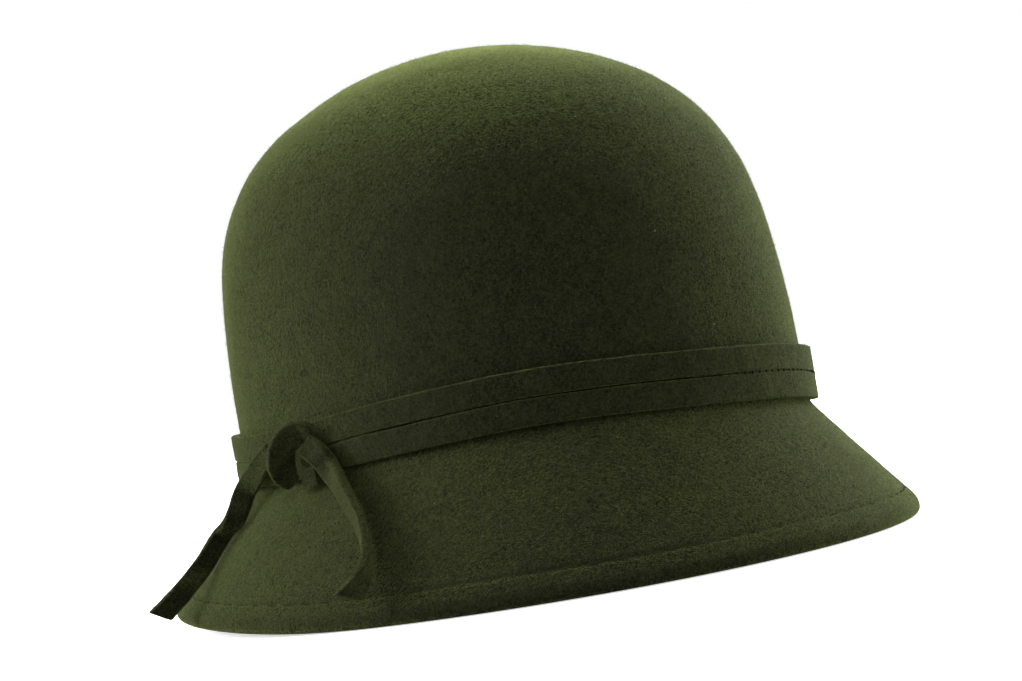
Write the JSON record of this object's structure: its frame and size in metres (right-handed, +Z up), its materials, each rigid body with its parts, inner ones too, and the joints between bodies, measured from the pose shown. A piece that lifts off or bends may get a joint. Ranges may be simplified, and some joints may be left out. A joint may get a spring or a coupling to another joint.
{
  "type": "cloche hat",
  "caption": "Soft felt cloche hat: domed crown, short bell brim turned under at the rim, and a narrow felt strip band tied in a flat side knot with two loose ends.",
  "frame": {"origin": "on the ground under the middle of the hat's outer box, with the rim resting on the plane Z = 0", "axes": "+Z up through the top of the crown, -Y towards the wearer's front, -X towards the wearer's right, where the knot is"},
  "size_m": [0.2488, 0.2688, 0.179],
  "materials": {
    "body_felt": "matte dark olive wool felt with a short lighter nap",
    "strip_felt": "matte dark olive wool felt with clean cut edges"
  },
  "bodies": {
    "root": {"felt_body": "body_felt", "band_row_upper": "strip_felt", "band_row_lower": "strip_felt", "knot_wrap": "strip_felt", "knot_under": "strip_felt", "tail_front": "strip_felt", "tail_back": "strip_felt"}
  },
  "joints": []
}
